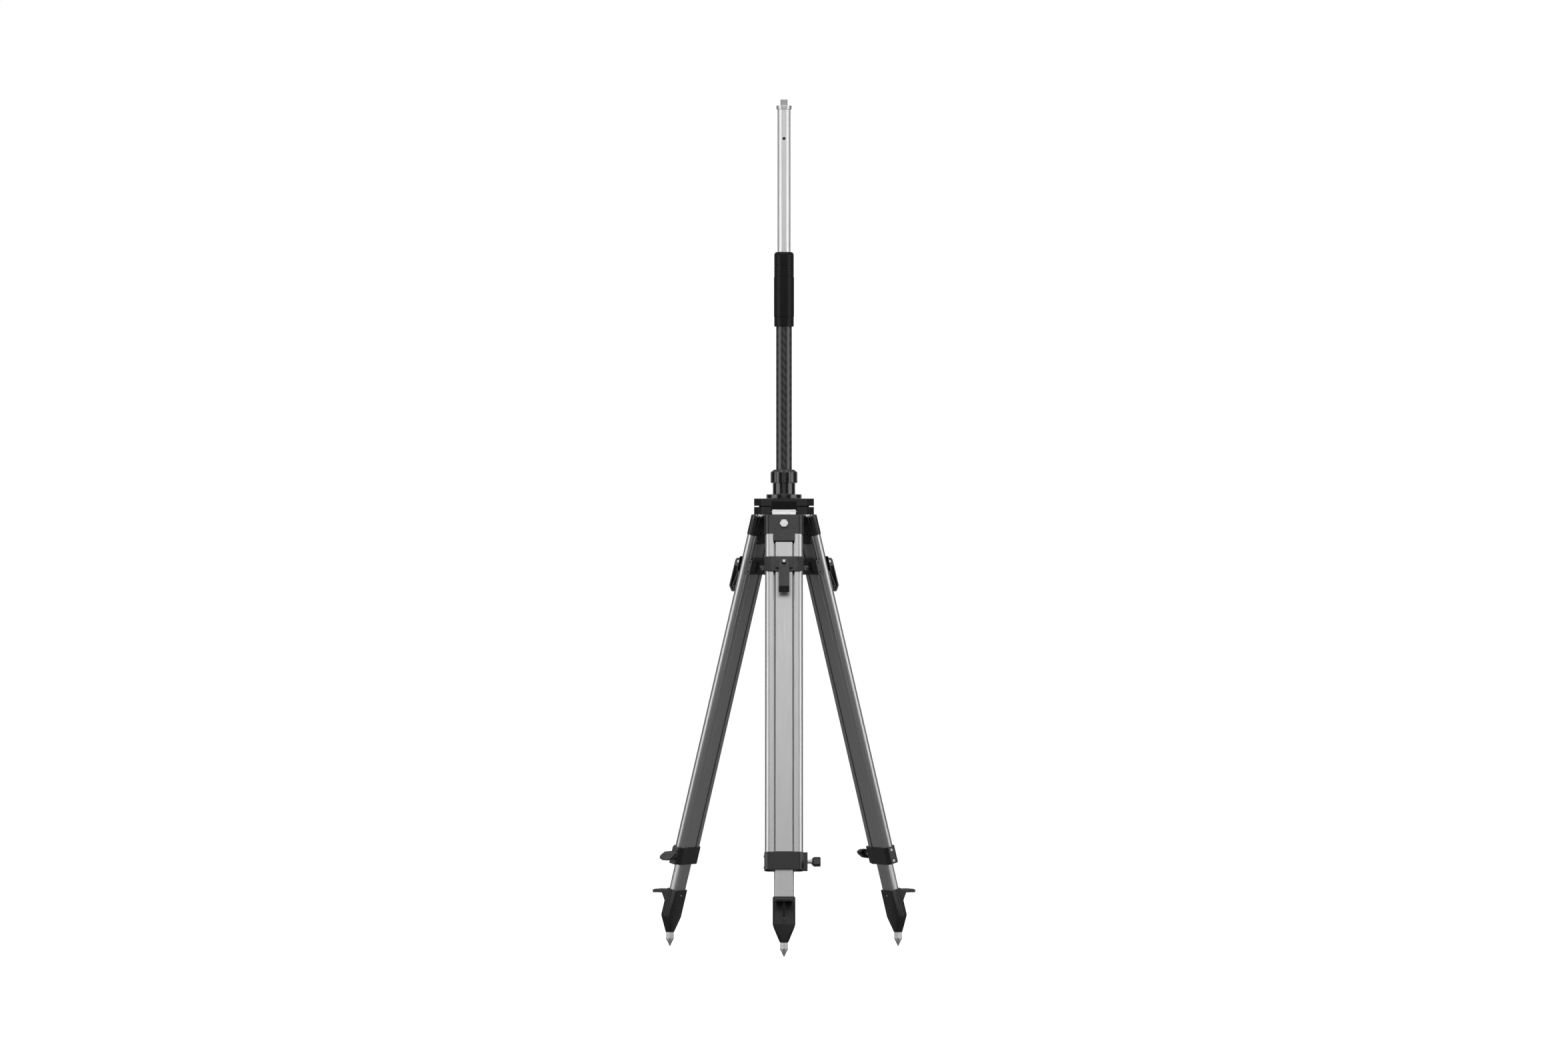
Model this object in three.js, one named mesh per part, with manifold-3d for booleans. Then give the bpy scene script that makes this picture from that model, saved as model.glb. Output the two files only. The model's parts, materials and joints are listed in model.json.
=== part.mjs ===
// Surveyor's tripod with a telescopic pole clamped through its head. Millimetres, +Z up.
// The origin is the pole's point, on the ground under the head. The front leg leans towards -Y.
import * as THREE from "three";
import { ConvexGeometry } from "three/addons/geometries/ConvexGeometry.js";
import { mergeVertices } from "three/addons/utils/BufferGeometryUtils.js";
import Module from "manifold-3d";

const wasm = await Module();
wasm.setup();

// ---- driving dimensions -------------------------------------------------------------------

const LEGS = 3;
const SPLAY = THREE.MathUtils.degToRad(15); // lean of each leg from the vertical
const GAP = 0.3; // clearance between pieces that touch on the real object

// Head: two plates with an equiangular hexagon outline, long sides towards the legs.
const PLATE_LONG_HALF = 47;
const PLATE_LONG_REACH = 46.8;
const LOWER_PLATE = [928, 944];
const UPPER_PLATE = [946.5, 962];
const HUB_RADIUS = 24;
const NOTCH_HALF = 27.3;
const NOTCH_FROM = 30;
const POCKET_TOP = 955.6;
const SPACER_RADIUS = 47;

// Leg hinge, in the upright plane of the leg: distance from the mast axis, and height.
const HINGE_REACH = 39;
const HINGE_Z = 933.4;
const BARREL_RADIUS = 8.2;
const BARREL_HALF = 25;
const PIN_RADIUS = 3;
const PIN_HALF = 46;

// Pole clamp on top of the head.
const POLE_RADIUS = 16.75;
const POLE_BORE = 17.3;
const DISC = { radius: 37.5, top: 971 };
const NECK = { radius: 23.8, top: 995 };
const COLLAR = { radius: 28.45, bottom: 995.3, shoulder: 1018, top: 1023.8, mouth: 21.45, grooves: 12 };

// Pole, grip, lock ring and extension.
const POLE_WALL = 1.9;
const POLE_BOTTOM = 70;
const POLE_TOP = 1456;
const GRIP = { radius: 21.4, step: 20.8, z: [1328.9, 1349.2, 1434.8, 1458.4] };
const RING = { radius: 20.8, bore: 14.3, bottom: 1458.8, top: 1487.7 };
const ROD = { radius: 13.9, wall: 1.6, bottom: 1200, top: 1792.2, holeZ: 1729.4, holeRadius: 3.25 };
const FLANGE = { radius: 16.15, bottom: 1792.5, top: 1800 };
const STUD = { radius: 7.94, root: 6.9, top: 1813.5 };

// Leg frame: X points out from the mast, Y along the hinge, Z up the leg. Z is 0 on top of the cap.
const LEG_REACH = 49.6;
const LEG_Z = 925;
const CAP = { half: 41.7, thick: 12.5, flatHalf: 30.9, bottom: -41.7, boltZ: -20.8 };
const TONGUE = { half: 23.35, bottom: -58, inner: 11.4, outer: 13 };
const WEB = { back: -10, front: 2, half: 20, bottom: -32, top: 9 };
const RAIL = { centre: 29, radius: 11, inside: 22, wall: 1.8, top: -6.3, bottom: -770 };
const INNER = { half: 20.6, thick: 10.2, flatHalf: 16, wall: 1.8, top: -60, bottom: -871.5 };
const CLAMP = { top: -734, bottom: -771.5, half: 41.5, boss: 49.5, screwZ: -753 };
const SLIDER = { top: -92.6, bottom: -124.5, pivotZ: -108.4, front: 15.5, pad: 21.6, back: -21 };
const PIVOT_REACH = 30;
const LEVER_HALF = 11.25;
const FOOT = { half: 23, thick: 12.5, top: -830, shoulder: -890.5 };

// Spike and tread stand level with the ground, so they are given in the leg's upright plane.
const SPIKE = { reach: 283.3, across: 16.9, top: 30, shoulder: 18.8, tip: 0.9, shank: 6 };
const TREAD = { from: 274, reach: 317, half: 18, bottom: 118, top: 122 };

// ---- solids ---------------------------------------------------------------------------------

function solid(geometry) {
  const bare = geometry.index ? geometry.toNonIndexed() : geometry.clone();
  bare.deleteAttribute("normal");
  bare.deleteAttribute("uv");
  const merged = mergeVertices(bare, 1e-4);
  const triVerts = new Uint32Array(merged.index.array);
  const vertProperties = merged.attributes.position.array;
  return new wasm.Manifold(new wasm.Mesh({ numProp: 3, vertProperties, triVerts }));
}

function joined(first, ...others) {
  return others.reduce((sum, piece) => sum.add(piece), first);
}

function cut(from, ...tools) {
  return tools.reduce((rest, tool) => rest.subtract(tool), from);
}

function box([x0, x1], [y0, y1], [z0, z1]) {
  const geometry = new THREE.BoxGeometry(x1 - x0, y1 - y0, z1 - z0);
  return solid(geometry.translate((x0 + x1) / 2, (y0 + y1) / 2, (z0 + z1) / 2));
}

// Turns a [radius, z] outline about the Z axis. The outline runs up its outer side.
function turned(profile, segments = 24) {
  const points = profile.map(([radius, z]) => new THREE.Vector2(radius, z));
  return solid(new THREE.LatheGeometry(points, segments).rotateX(Math.PI / 2));
}

function tube(outer, inner, z0, z1, segments = 24) {
  return turned([[inner, z0], [outer, z0], [outer, z1], [inner, z1], [inner, z0]], segments);
}

function extruded(outline, from, to) {
  const shape = new THREE.Shape(outline.map(([x, y]) => new THREE.Vector2(x, y)));
  const options = { depth: to - from, bevelEnabled: false, steps: 1 };
  return new THREE.ExtrudeGeometry(shape, options).translate(0, 0, from);
}

// Outline in [x, y], extruded along Z.
function alongZ(outline, from, to) {
  return solid(extruded(outline, from, to));
}

// Outline in [x, z], extruded along Y.
function alongY(outline, from, to) {
  return solid(extruded(outline, -to, -from).rotateX(Math.PI / 2));
}

// Outline in [y, z], extruded along X.
function alongX(outline, from, to) {
  const turn = new THREE.Matrix4().makeBasis(
    new THREE.Vector3(0, 1, 0),
    new THREE.Vector3(0, 0, 1),
    new THREE.Vector3(1, 0, 0),
  );
  return solid(extruded(outline, from, to).applyMatrix4(turn));
}

function circle(radius, [x, y] = [0, 0], segments = 12, start = 0, sweep = 2 * Math.PI) {
  const whole = sweep === 2 * Math.PI;
  const count = whole ? segments : segments + 1;
  return Array.from({ length: count }, (_, i) => {
    const angle = start + (sweep * i) / segments;
    return [x + radius * Math.cos(angle), y + radius * Math.sin(angle)];
  });
}

function hexagon(across, centre = [0, 0], start = 0) {
  return circle(across / Math.sqrt(3), centre, 6, start);
}

// ---- scene graph ----------------------------------------------------------------------------

const tripod = new THREE.Group();
tripod.name = "surveyor_tripod";

const FINISH = {
  castAlloy: [0x26282a, 0.45, 0.6],
  blackPlastic: [0x1c1c1e, 0.55, 0],
  carbon: [0x2a2a2c, 0.35, 0.2],
  silver: [0xc3c5c7, 0.35, 0.9],
  steel: [0xb9bcc0, 0.28, 1],
  leverSheet: [0x2b2b2d, 0.4, 0.5],
};

function addMesh(parent, name, shape, finish) {
  const { vertProperties, triVerts } = shape.getMesh();
  const geometry = new THREE.BufferGeometry();
  geometry.setAttribute("position", new THREE.BufferAttribute(vertProperties, 3));
  geometry.setIndex(new THREE.BufferAttribute(triVerts, 1));
  const faceted = geometry.toNonIndexed();
  faceted.computeVertexNormals();
  const [color, roughness, metalness] = FINISH[finish];
  const mesh = new THREE.Mesh(faceted, new THREE.MeshStandardMaterial({ color, roughness, metalness }));
  mesh.name = name;
  parent.add(mesh);
}

// Frame of one leg's upright plane: X points away from the mast, Y along the hinge, Z up.
const spokeMatrices = Array.from({ length: LEGS }, (_, k) =>
  new THREE.Matrix4().makeRotationZ(-Math.PI / 2 + (k * 2 * Math.PI) / LEGS),
);
const legMatrix = new THREE.Matrix4()
  .makeTranslation(LEG_REACH, 0, LEG_Z)
  .multiply(new THREE.Matrix4().makeRotationY(-SPLAY));
const legInverse = legMatrix.clone().invert();

function placed(shape, matrix) {
  return shape.transform(matrix.elements);
}

// Brings a shape given in the leg's upright plane into the leaning leg's own frame.
function intoLeg(shape) {
  return placed(shape, legInverse);
}

const hingeInLeg = new THREE.Vector3(HINGE_REACH, 0, HINGE_Z).applyMatrix4(legInverse);

// ---- head -----------------------------------------------------------------------------------

const plateOutline = spokeMatrices.flatMap((matrix) =>
  [-PLATE_LONG_HALF, PLATE_LONG_HALF].map((y) => {
    const corner = new THREE.Vector3(PLATE_LONG_REACH, y, 0).applyMatrix4(matrix);
    return [corner.x, corner.y];
  }),
);

function atEachLeg(shape) {
  return spokeMatrices.map((matrix) => placed(shape, matrix));
}

function headPlate() {
  const [bottom, top] = LOWER_PLATE;
  const plate = alongZ(plateOutline, bottom, top);
  const bore = alongZ(circle(HUB_RADIUS + GAP, [0, 0], 24), bottom - 1, top + 1);
  const notch = box([NOTCH_FROM, 60], [-NOTCH_HALF, NOTCH_HALF], [bottom - 1, top + 1]);
  const pinBore = alongY(circle(PIN_RADIUS + GAP, [HINGE_REACH, HINGE_Z]), -60, 60);
  return cut(plate, bore, ...atEachLeg(notch), ...atEachLeg(pinBore));
}

function topPlate() {
  const [bottom, top] = UPPER_PLATE;
  const plate = alongZ(plateOutline, bottom, top);
  const bore = alongZ(circle(HUB_RADIUS + GAP, [0, 0], 24), bottom - 1, top + 1);
  const half = NOTCH_HALF - 0.5;
  const pocket = box([NOTCH_FROM, 60], [-half, half], [bottom - 1, POCKET_TOP]);
  // A thin apron hangs over the hinge barrel, with its lower edge curved down in the middle.
  const apronHalf = half - 0.4;
  const sag = 2.4;
  const edge = Array.from({ length: 9 }, (_, i) => {
    const y = -apronHalf + (2 * apronHalf * i) / 8;
    return [y, 939.9 + sag * (y / apronHalf) ** 2];
  });
  const outline = [...edge, [apronHalf, POCKET_TOP + 1], [-apronHalf, POCKET_TOP + 1]];
  const apron = alongX(outline, PLATE_LONG_REACH - 1.6, PLATE_LONG_REACH);
  return joined(cut(plate, bore, ...atEachLeg(pocket)), ...atEachLeg(apron));
}

function spacerRing() {
  const ring = tube(SPACER_RADIUS, NOTCH_FROM, LOWER_PLATE[1] + 0.15, UPPER_PLATE[0] - 0.15, 36);
  const relief = box([PLATE_LONG_REACH - 2, 60], [-NOTCH_HALF, NOTCH_HALF], [940, 950]);
  return cut(ring, ...atEachLeg(relief));
}

function clampBody() {
  const bottom = LOWER_PLATE[0] + 2;
  const seat = UPPER_PLATE[1] + GAP;
  return turned(
    [
      [POLE_BORE, bottom],
      [HUB_RADIUS, bottom],
      [HUB_RADIUS, seat],
      [DISC.radius, seat],
      [DISC.radius, DISC.top],
      [NECK.radius, DISC.top],
      [NECK.radius, NECK.top],
      [COLLAR.mouth - 0.9, NECK.top],
      [COLLAR.mouth - 0.9, COLLAR.shoulder - 2],
      [POLE_BORE, COLLAR.shoulder - 2],
      [POLE_BORE, bottom],
    ],
    30,
  );
}

function clampCollar() {
  const bore = COLLAR.mouth - 0.4;
  const ring = turned(
    [
      [bore, COLLAR.bottom],
      [COLLAR.radius, COLLAR.bottom],
      [COLLAR.radius, COLLAR.shoulder],
      [COLLAR.mouth, COLLAR.top],
      [POLE_BORE, COLLAR.top],
      [POLE_BORE, COLLAR.shoulder - 1],
      [bore, COLLAR.shoulder - 1],
      [bore, COLLAR.bottom],
    ],
    30,
  );
  const grooves = Array.from({ length: COLLAR.grooves }, (_, i) => {
    const groove = box([COLLAR.radius - 1.3, 40], [-2.1, 2.1], [COLLAR.bottom - 1, COLLAR.top + 1]);
    const angle = THREE.MathUtils.degToRad(-93.3) + (i * 2 * Math.PI) / COLLAR.grooves;
    return placed(groove, new THREE.Matrix4().makeRotationZ(angle));
  });
  return cut(ring, ...grooves);
}

const hingePin = alongY(circle(PIN_RADIUS, [HINGE_REACH, HINGE_Z]), -PIN_HALF, PIN_HALF);

addMesh(tripod, "head_plate", headPlate(), "castAlloy");
addMesh(tripod, "top_plate", topPlate(), "castAlloy");
addMesh(tripod, "spacer_ring", spacerRing(), "blackPlastic");
addMesh(tripod, "clamp_body", clampBody(), "castAlloy");
addMesh(tripod, "clamp_collar", clampCollar(), "castAlloy");

// ---- pole, grip and extension ---------------------------------------------------------------

const poleInside = POLE_RADIUS - POLE_WALL;

const polePoint = turned([
  [0, 0],
  [2, 0],
  [11.5, 52],
  [POLE_RADIUS - 0.6, POLE_BOTTOM - 4],
  [POLE_RADIUS - 0.6, POLE_BOTTOM - GAP],
  [poleInside - GAP, POLE_BOTTOM - GAP],
  [poleInside - GAP, POLE_BOTTOM + 40],
  [0, POLE_BOTTOM + 40],
]);

const grip = turned(
  [
    [POLE_RADIUS + GAP, GRIP.z[0]],
    [GRIP.step, GRIP.z[0]],
    [GRIP.step, GRIP.z[1]],
    [GRIP.radius, GRIP.z[1]],
    [GRIP.radius, GRIP.z[2]],
    [GRIP.step, GRIP.z[2]],
    [GRIP.step, GRIP.z[3]],
    [POLE_RADIUS + GAP, GRIP.z[3]],
    [POLE_RADIUS + GAP, GRIP.z[0]],
  ],
  30,
);

const lockRing = turned(
  [
    [RING.bore, RING.bottom],
    [RING.radius, RING.bottom],
    [RING.radius, RING.top - 5],
    [RING.radius - 1.2, RING.top - 2],
    [RING.radius - 4, RING.top],
    [RING.bore, RING.top],
    [RING.bore, RING.bottom],
  ],
  30,
);

const rodInside = ROD.radius - ROD.wall;
const rodHole = placed(
  alongX(circle(ROD.holeRadius, [0, ROD.holeZ]), 0, ROD.radius + 2),
  spokeMatrices[0],
);
const extensionRod = cut(tube(ROD.radius, rodInside, ROD.bottom, ROD.top), rodHole);

const rodBush = turned([
  [0, ROD.bottom - 9.7],
  [poleInside - GAP, ROD.bottom - 9.7],
  [poleInside - GAP, ROD.bottom - GAP],
  [rodInside - GAP, ROD.bottom - GAP],
  [rodInside - GAP, ROD.bottom + 25],
  [0, ROD.bottom + 25],
]);

const threadAdapter = turned([
  [0, ROD.top - 20],
  [rodInside - GAP, ROD.top - 20],
  [rodInside - GAP, FLANGE.bottom],
  [FLANGE.radius, FLANGE.bottom],
  [FLANGE.radius, FLANGE.top],
  [STUD.root, FLANGE.top],
  [STUD.root, FLANGE.top + 2.2],
  [STUD.radius, FLANGE.top + 3],
  [STUD.radius, STUD.top - 1.6],
  [STUD.root, STUD.top],
  [0, STUD.top],
]);

addMesh(tripod, "pole_tube", tube(POLE_RADIUS, poleInside, POLE_BOTTOM, POLE_TOP), "carbon");
addMesh(tripod, "pole_point", polePoint, "steel");
addMesh(tripod, "grip", grip, "blackPlastic");
addMesh(tripod, "lock_ring", lockRing, "blackPlastic");
addMesh(tripod, "extension_rod", extensionRod, "silver");
addMesh(tripod, "rod_bush", rodBush, "blackPlastic");
addMesh(tripod, "thread_adapter", threadAdapter, "steel");

// ---- upper leg ------------------------------------------------------------------------------

// D-shaped rail section: a half round outer edge and a flat inner side. side is 1 or -1.
function railOutline(side, grow = 0) {
  const radius = RAIL.radius + grow;
  const inside = RAIL.inside - grow;
  const arc = circle(radius, [0, RAIL.centre], 10, 0, Math.PI);
  const outline = [[-radius, inside], [radius, inside], ...arc];
  return side > 0 ? outline : outline.map(([x, y]) => [-x, -y]);
}

function rail(side) {
  const shell = alongZ(railOutline(side), RAIL.bottom, RAIL.top);
  const hollow = alongZ(railOutline(side, -RAIL.wall), RAIL.bottom - 1, RAIL.top + 1);
  const made = cut(shell, hollow);
  return side > 0 ? cut(made, alongY(circle(4.4, [0, CLAMP.screwZ]), 15, 45)) : made;
}

function cap() {
  const reach = CAP.half - 12.2;
  const end = circle(12.2, [0, reach], 8, Math.PI / 12, (Math.PI * 10) / 12);
  const rightHalf = [[CAP.thick, CAP.flatHalf], ...end, [-CAP.thick, CAP.flatHalf]];
  const outline = [...rightHalf, ...rightHalf.map(([x, y]) => [-x, -y])];
  const block = alongZ(outline, CAP.bottom, 0);
  const across = [-TONGUE.half, TONGUE.half];
  const along = [TONGUE.bottom, CAP.bottom + 12];
  const tongues = joined(
    box([TONGUE.inner, TONGUE.outer], across, along),
    box([-TONGUE.outer, -TONGUE.inner], across, along),
  );
  const pockets = [1, -1].map((side) => alongZ(railOutline(side, GAP), CAP.bottom - 1, RAIL.top + GAP));
  const slot = box([WEB.back - GAP, WEB.front + GAP], [-WEB.half - GAP, WEB.half + GAP], [WEB.bottom - GAP, 1]);
  const bolt = alongX(circle(5.3, [0, CAP.boltZ], 16), -20, 20);
  const slits = [[CAP.half - 5, 50], [-50, 5 - CAP.half]].map((y) => box([-0.8, 0.8], y, [-50, -7]));
  return cut(joined(block, tongues), ...pockets, slot, bolt, ...slits);
}

function hingeBlock() {
  const centre = [hingeInLeg.x, hingeInLeg.z];
  const barrel = alongY(circle(BARREL_RADIUS, centre, 20), -BARREL_HALF, BARREL_HALF);
  const wide = box([WEB.back, WEB.front], [-BARREL_HALF, BARREL_HALF], [GAP, WEB.top]);
  const narrow = box([WEB.back, WEB.front], [-WEB.half, WEB.half], [WEB.bottom, WEB.top]);
  const pinBore = alongY(circle(PIN_RADIUS + GAP, centre), -30, 30);
  const bolt = alongX(circle(5.3, [0, CAP.boltZ], 16), -20, 20);
  return cut(joined(barrel, wide, narrow), pinBore, bolt);
}

const capBolt = joined(
  alongX(circle(4.9, [0, CAP.boltZ], 16), -CAP.thick, CAP.thick + 1),
  alongX(hexagon(16, [0, CAP.boltZ]), CAP.thick + GAP, CAP.thick + 6.4),
);

function lowerClamp() {
  const outline = [
    [-13, -36],
    [-8, -CLAMP.half],
    [8, -CLAMP.half],
    [14, -35],
    [14, -20.5],
    [17, -18.5],
    [17, 18.5],
    [14, 20.5],
    [14, 35],
    [8, CLAMP.half],
    [7, CLAMP.boss],
    [-8, CLAMP.boss],
    [-8, CLAMP.half],
    [-13, 36],
  ];
  const inside = RAIL.radius + GAP;
  const rightEnd = circle(inside, [0, RAIL.centre], 10, 0, Math.PI);
  const passage = [...rightEnd, ...rightEnd.map(([x, y]) => [-x, -y])];
  const screwBore = alongY(circle(4.4, [0, CLAMP.screwZ]), 30, 60);
  const body = alongZ(outline, CLAMP.bottom, CLAMP.top);
  return cut(body, alongZ(passage, CLAMP.bottom - 1, CLAMP.top + 1), screwBore);
}

// Winged hand screw: two leaf-shaped blades on a short hub.
function wingScrew() {
  const blade = [
    [18.5, -9.5],
    [17, -3],
    [9, 6],
    [0, 9],
    [-10, 11],
  ];
  const leaf = [...blade, ...blade.map(([x, z]) => [-x, -z])].map(([x, z]) => [x, z + CLAMP.screwZ]).reverse();
  const stem = alongY(circle(3.9, [0, CLAMP.screwZ]), 21.4, 61);
  const hub = alongY(circle(8.5, [0, CLAMP.screwZ], 20), 59.3, 72);
  return joined(stem, hub, alongY(leaf, 61.5, 77.5));
}

// ---- sliding lower leg ----------------------------------------------------------------------

function innerOutline(grow = 0) {
  const thick = INNER.thick + grow;
  const side = INNER.half - INNER.flatHalf + grow;
  const right = Array.from({ length: 9 }, (_, i) => {
    const angle = (Math.PI * i) / 8;
    return [thick * Math.cos(angle), INNER.flatHalf + side * Math.sin(angle)];
  });
  return [...right, ...right.map(([x, y]) => [-x, -y])];
}

function innerLeg() {
  const shell = alongZ(innerOutline(), INNER.bottom, INNER.top);
  const hollow = alongZ(innerOutline(-INNER.wall), INNER.bottom - 1, INNER.top + 1);
  return cut(shell, hollow, alongX(circle(3.7, [0, SLIDER.pivotZ]), -20, 20));
}

function sliderFront() {
  const face = [[11.3, -39.8], [13.2, -39.8], [SLIDER.front, -27.4], [SLIDER.front, 27.4], [13.2, 39.8], [11.3, 39.8]];
  const plate = alongZ(face, SLIDER.bottom, SLIDER.top);
  const middle = SLIDER.pivotZ;
  const pad = box([SLIDER.front - 1, SLIDER.pad], [-18.7, 18.7], [middle - 10.7, middle + 10.7]);
  return cut(joined(plate, pad), alongX(circle(3.6, [0, middle]), 5, 30));
}

function sliderBack() {
  const block = box([SLIDER.back, -11.3], [-41.5, 41.5], [SLIDER.bottom, SLIDER.top]);
  const lightening = box([SLIDER.back - 1, -14.5], [-36, 36], [SLIDER.bottom + 4, SLIDER.top - 4]);
  const boss = alongX(circle(8, [0, SLIDER.pivotZ], 20), SLIDER.back, -13);
  const bolt = alongX(circle(3.6, [0, SLIDER.pivotZ]), -30, 0);
  const screwHoles = [1, -1].flatMap((side) =>
    [10.5, -10.5].map((up) => {
      const range = side > 0 ? [38, 45] : [-45, -38];
      return alongY(circle(1.65, [-16, SLIDER.pivotZ + up], 10), ...range);
    }),
  );
  return cut(joined(cut(block, lightening), boss), bolt, ...screwHoles);
}

const sliderBolt = joined(
  alongX(circle(3.2, [0, SLIDER.pivotZ]), SLIDER.back - 1, PIVOT_REACH + 6),
  alongX(hexagon(10.4, [0, SLIDER.pivotZ]), SLIDER.back - 5.5, SLIDER.back - GAP),
);

const pivotNut = cut(
  joined(
    alongY(circle(5, [PIVOT_REACH, SLIDER.pivotZ]), -3.7, 3.7),
    alongY(circle(3.2, [PIVOT_REACH, SLIDER.pivotZ]), -10.6, 10.6),
  ),
  alongX(circle(3.5, [0, SLIDER.pivotZ]), 20, 40),
);

// Cam lever: a strip bent into a long closed loop that hangs from the pivot nut.
function lever() {
  const head = circle(8, [PIVOT_REACH, SLIDER.pivotZ], 12, 0, Math.PI);
  const outside = [...head, [22.9, -128.6], [29.6, -160], [24.7, -167], [25.5, -174], [29.5, -175], [38.5, -164], [38.5, -112]];
  const inside = [[35.5, -119], [25.6, -119], [25, -128.6], [31.7, -160], [26.8, -167.3], [27, -171], [28.5, -171.5], [35.5, -163]];
  const strip = cut(alongY(outside, -LEVER_HALF, LEVER_HALF), alongY(inside, -20, 20));
  const slot = box([10, 50], [-4, 4], [SLIDER.pivotZ - 7.8, SLIDER.pivotZ + 20]);
  const pivotBore = alongY(circle(3.5, [PIVOT_REACH, SLIDER.pivotZ]), -20, 20);
  return cut(strip, slot, pivotBore);
}

function foot() {
  const corners = [];
  for (const x of [-FOOT.thick, FOOT.thick]) {
    for (const y of [-FOOT.half, FOOT.half]) {
      for (const z of [FOOT.top, FOOT.shoulder]) corners.push(new THREE.Vector3(x, y, z));
    }
  }
  const mouth = circle(9.25, [SPIKE.reach, 0], 24).map(([x, y]) =>
    new THREE.Vector3(x, y, SPIKE.top + GAP).applyMatrix4(legInverse),
  );
  const shell = solid(new ConvexGeometry([...corners, ...mouth]));
  const socket = alongZ(innerOutline(GAP), INNER.bottom - GAP, FOOT.top + 1);
  const shankBore = intoLeg(
    placed(tube(SPIKE.shank + GAP, 0.001, 0, 70, 12), new THREE.Matrix4().makeTranslation(SPIKE.reach, 0, 0)),
  );
  const recesses = [[2.4, 20.4], [-20.4, -2.4]].map((y) => box([FOOT.thick - 1.4, 20], y, [FOOT.shoulder + 6, -842]));
  const plank = box([TREAD.from, TREAD.reach], [-TREAD.half, TREAD.half], [TREAD.bottom, TREAD.top]);
  const teeth = Array.from({ length: 9 }, (_, i) => {
    const x = TREAD.reach - 5 - 4 * i;
    const tooth = [[x - 1.2, TREAD.top - 0.5], [x + 1.2, TREAD.top - 0.5], [x, TREAD.top + 1.4]];
    return alongY(tooth, -TREAD.half, TREAD.half);
  });
  const gusset = alongY([[276, TREAD.bottom + 1], [285, 84], [289.6, 84], [304.4, TREAD.bottom + 1]], -2.4, 2.4);
  const step = intoLeg(joined(plank, gusset, ...teeth));
  return cut(joined(cut(shell, ...recesses), step), socket, shankBore);
}

// Sharpened hexagonal spike that stands upright under the leaning foot.
function spike() {
  const bar = alongZ(hexagon(SPIKE.across), -1, SPIKE.top);
  const corner = SPIKE.across / Math.sqrt(3);
  const point = turned([
    [0, 0],
    [SPIKE.tip, 0],
    [corner, SPIKE.shoulder],
    [corner + 1, SPIKE.shoulder + 1],
    [corner + 1, SPIKE.top],
    [0, SPIKE.top],
  ]);
  const shank = alongZ(circle(SPIKE.shank, [0, 0], 12), SPIKE.top - 1, 64);
  const whole = joined(bar.intersect(point), shank);
  return intoLeg(placed(whole, new THREE.Matrix4().makeTranslation(SPIKE.reach, 0, 0)));
}

const legPieces = [
  ["cap", cap(), "castAlloy"],
  ["hinge_block", hingeBlock(), "silver"],
  ["cap_bolt", capBolt, "steel"],
  ["rail_left", rail(-1), "silver"],
  ["rail_right", rail(1), "silver"],
  ["lower_clamp", lowerClamp(), "castAlloy"],
  ["wing_screw", wingScrew(), "blackPlastic"],
  ["inner_leg", innerLeg(), "silver"],
  ["foot", foot(), "castAlloy"],
  ["spike", spike(), "steel"],
  ["slider_front", sliderFront(), "castAlloy"],
  ["slider_back", sliderBack(), "castAlloy"],
  ["slider_bolt", sliderBolt, "steel"],
  ["pivot_nut", pivotNut, "steel"],
  ["lever", lever(), "leverSheet"],
];

spokeMatrices.forEach((matrix, k) => {
  const spoke = new THREE.Group();
  spoke.applyMatrix4(matrix);
  tripod.add(spoke);
  addMesh(spoke, `hinge_pin_${k + 1}`, hingePin, "steel");
  const leg = new THREE.Group();
  leg.applyMatrix4(legMatrix);
  spoke.add(leg);
  for (const [name, shape, finish] of legPieces) addMesh(leg, `${name}_${k + 1}`, shape, finish);
});

export default tripod;
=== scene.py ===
import json
import math

import bmesh
import bpy
from mathutils import Matrix, Vector


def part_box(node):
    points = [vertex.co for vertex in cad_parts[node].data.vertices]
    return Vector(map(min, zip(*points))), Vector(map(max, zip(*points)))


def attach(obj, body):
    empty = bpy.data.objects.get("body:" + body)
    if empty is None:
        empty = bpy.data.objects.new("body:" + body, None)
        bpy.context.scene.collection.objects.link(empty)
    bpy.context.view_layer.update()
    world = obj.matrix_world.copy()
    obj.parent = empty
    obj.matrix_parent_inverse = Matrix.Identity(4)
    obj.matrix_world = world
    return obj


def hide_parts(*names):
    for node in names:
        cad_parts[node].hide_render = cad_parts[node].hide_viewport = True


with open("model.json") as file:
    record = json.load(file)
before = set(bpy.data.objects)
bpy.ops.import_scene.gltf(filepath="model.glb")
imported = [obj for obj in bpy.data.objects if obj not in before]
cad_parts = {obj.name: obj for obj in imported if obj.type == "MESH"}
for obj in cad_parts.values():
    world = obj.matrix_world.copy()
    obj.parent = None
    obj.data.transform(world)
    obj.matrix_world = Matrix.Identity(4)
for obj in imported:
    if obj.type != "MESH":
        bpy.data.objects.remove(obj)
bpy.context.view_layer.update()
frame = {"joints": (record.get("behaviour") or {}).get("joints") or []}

# Surveyor's tripod with a telescopic pole. Shapes are given in millimetres and built in metres.
# Head and pole pieces use the object's own frame. A leg's pieces use that leg's frame:
# X out from the mast, Y along the hinge, Z up the leg, with Z = 0 on top of the cap casting.

MM = 0.001
LEGS = (1, 2, 3)
HINGE_BARREL = 8.2
POLE_RADIUS, POLE_INSIDE = 16.75, 14.85
ROD_RADIUS, ROD_INSIDE = 13.9, 12.3
PIN_RADIUS, PIN_HOLE = 3.0, 3.3
BOLT_HOLE, SLIDER_HOLE, SCREW_HOLE = 5.3, 3.6, 4.4
SCREW_Z = -753.0
PIVOT_X, PIVOT_Z = 30.0, -108.4

joints = {joint["name"]: joint for joint in frame["joints"]}


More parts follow.
